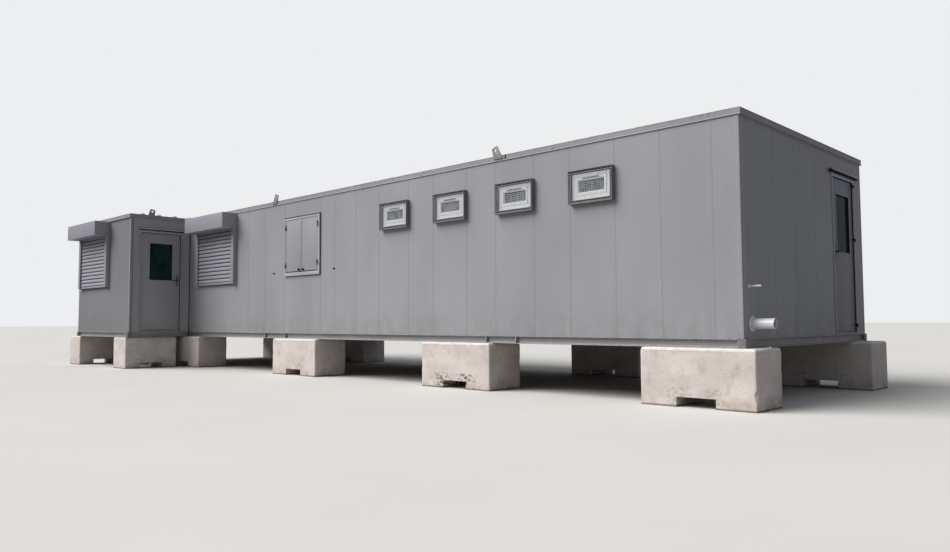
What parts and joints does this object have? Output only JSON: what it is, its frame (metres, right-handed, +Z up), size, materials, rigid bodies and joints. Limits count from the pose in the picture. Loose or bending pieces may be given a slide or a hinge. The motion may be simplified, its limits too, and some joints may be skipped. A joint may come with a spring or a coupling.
{
  "type": "portable site cabin",
  "caption": "Long flat-roofed steel site cabin with a projecting bay, shuttered and guarded windows, two half-glazed doors and roof lifting eyes, standing on cast concrete blocks.",
  "frame": {"origin": "middle of the footprint of the whole object's box, on the ground under the blocks", "axes": "+X along the long front towards the end wall with the door and pipes, +Y from the front to the back, +Z up"},
  "size_m": [15.568, 5.39, 3.2551],
  "materials": {
    "wall_paint": "semi-matt",
    "frame_paint": "semi-matt",
    "door_paint": "semi-matt",
    "roof_steel": "weathered",
    "shutter_steel": "semi-matt",
    "white_upvc": "satin",
    "white_pvc": "satin",
    "pane_glass": "clear",
    "galvanised": "dull",
    "black_fittings": "satin",
    "handle_metal": "satin",
    "plywood_floor": "worn",
    "concrete": "cast"
  },
  "bodies": {
    "cabin": {"main_frame_rails": "frame_paint", "bay_frame_rails": "frame_paint", "floor_joists": "frame_paint", "main_floor": "plywood_floor", "bay_floor": "plywood_floor", "front_wall": "wall_paint", "back_wall": "wall_paint", "end_door_frame": "door_paint", "end_door_hinges": "black_fittings", "end_door_canopy": "door_paint", "bay_door_frame": "door_paint", "bay_door_hinges": "black_fittings", "bay_door_canopy": "door_paint", "end_wall_near": "wall_paint", "end_wall_far": "wall_paint", "end_wall_head": "wall_paint", "left_wall": "wall_paint", "bay_front_wall": "wall_paint", "bay_side_wall_outer": "wall_paint", "bay_side_wall_inner": "wall_paint", "bay_side_wall_head": "wall_paint", "window_frames": "white_upvc", "window_panes": "pane_glass", "window_guards": "galvanised", "guard_mesh": "galvanised", "hatch_frame": "wall_paint", "hatch_hinges": "black_fittings", "hatch_catches": "black_fittings", "shutter_boxes": "wall_paint", "shutter_rolls": "shutter_steel", "shutter_guides": "wall_paint", "shutter_curtains": "shutter_steel", "main_roof": "roof_steel", "bay_roof": "roof_steel", "roof_trim": "wall_paint", "lifting_lugs": "wall_paint", "soil_pipe": "white_pvc", "overflow_pipe": "white_pvc", "front_blocks": "concrete", "rear_blocks": "concrete", "bay_blocks": "concrete"},
    "end_door": {"end_door_leaf": "door_paint", "end_door_glass": "pane_glass", "end_door_handle": "handle_metal", "end_door_straps": "black_fittings"},
    "bay_door": {"bay_door_leaf": "door_paint", "bay_door_glass": "pane_glass", "bay_door_handle": "handle_metal", "bay_door_straps": "black_fittings"},
    "left_leaf": {"hatch_leaf_left": "wall_paint", "hatch_fittings_left": "black_fittings"},
    "right_leaf": {"hatch_leaf_right": "wall_paint", "hatch_fittings_right": "black_fittings"}
  },
  "joints": [
    {"name": "end_door_hinge", "type": "hinge", "parent": "cabin", "child": "end_door", "pos_m": [7.55, 2.302, 1.7555], "axis": [0, 0, 1], "range_deg": [0, 110]},
    {"name": "bay_door_hinge", "type": "hinge", "parent": "cabin", "child": "bay_door", "pos_m": [-4.626, -2.146, 1.7555], "axis": [0, 0, -1], "range_deg": [0, 105]},
    {"name": "left_leaf_hinge", "type": "hinge", "parent": "cabin", "child": "left_leaf", "pos_m": [-0.89, -1.167, 2.262], "axis": [0, 0, -1], "range_deg": [0, 175]},
    {"name": "right_leaf_hinge", "type": "hinge", "parent": "cabin", "child": "right_leaf", "pos_m": [0.086, -1.167, 2.262], "axis": [0, 0, 1], "range_deg": [0, 175]}
  ]
}
